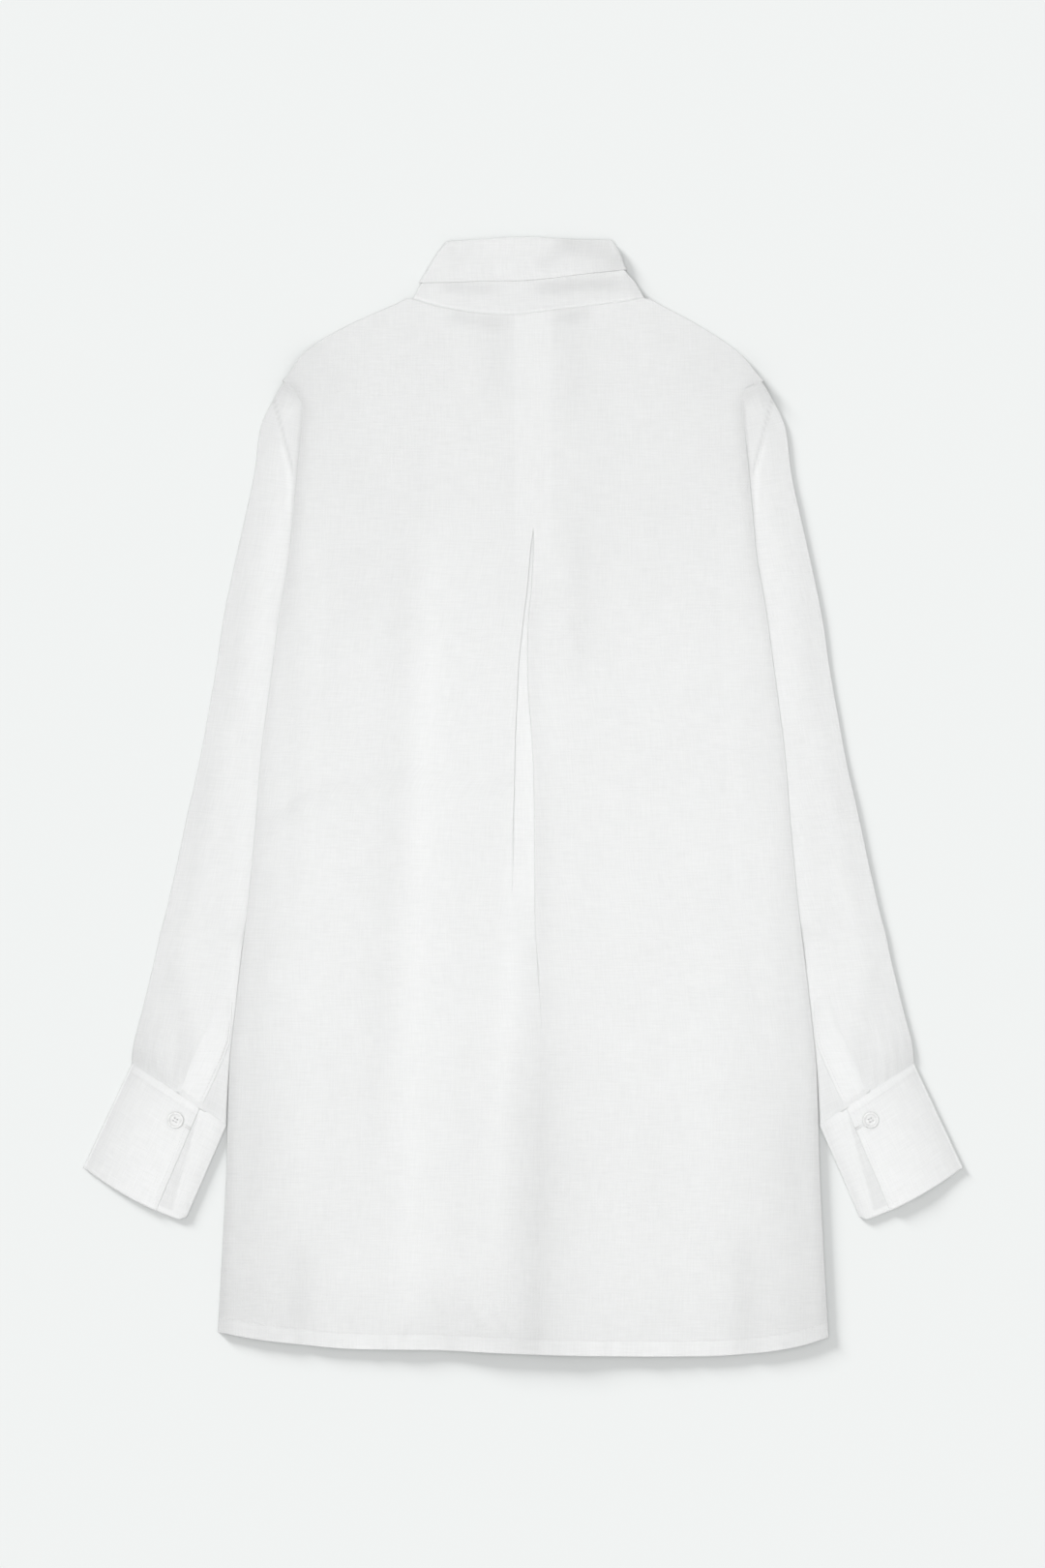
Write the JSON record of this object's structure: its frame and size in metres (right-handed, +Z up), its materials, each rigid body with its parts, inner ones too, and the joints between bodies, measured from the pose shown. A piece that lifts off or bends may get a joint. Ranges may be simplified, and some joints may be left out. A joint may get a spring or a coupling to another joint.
{
  "type": "linen shirt",
  "caption": "Long-sleeved linen shirt laid flat face down, back up, with an inverted box pleat in the back, wide buttoned cuffs and a turned-down collar.",
  "frame": {"origin": "on the surface the shirt lies on, under the middle of its outline", "axes": "+Y towards the collar, +X towards the sleeve on the right as seen from above, +Z up off the surface"},
  "size_m": [0.682, 0.8672, 0.0093],
  "materials": {
    "linen": "matte plain-weave linen",
    "shell_white": "semi-gloss white button"
  },
  "bodies": {
    "root": {"back": "linen", "front_left": "linen", "front_right": "linen", "sleeve_left": "linen", "sleeve_right": "linen", "placket_left": "linen", "placket_right": "linen", "cuff_left": "linen", "cuff_right": "linen", "collar_stand": "linen", "collar_leaf": "linen", "button_cuff_left": "shell_white", "button_cuff_right": "shell_white", "button_collar": "shell_white", "button_front_1": "shell_white", "button_front_2": "shell_white", "button_front_3": "shell_white", "button_front_4": "shell_white", "button_front_5": "shell_white", "button_front_6": "shell_white", "button_front_7": "shell_white"}
  },
  "joints": []
}
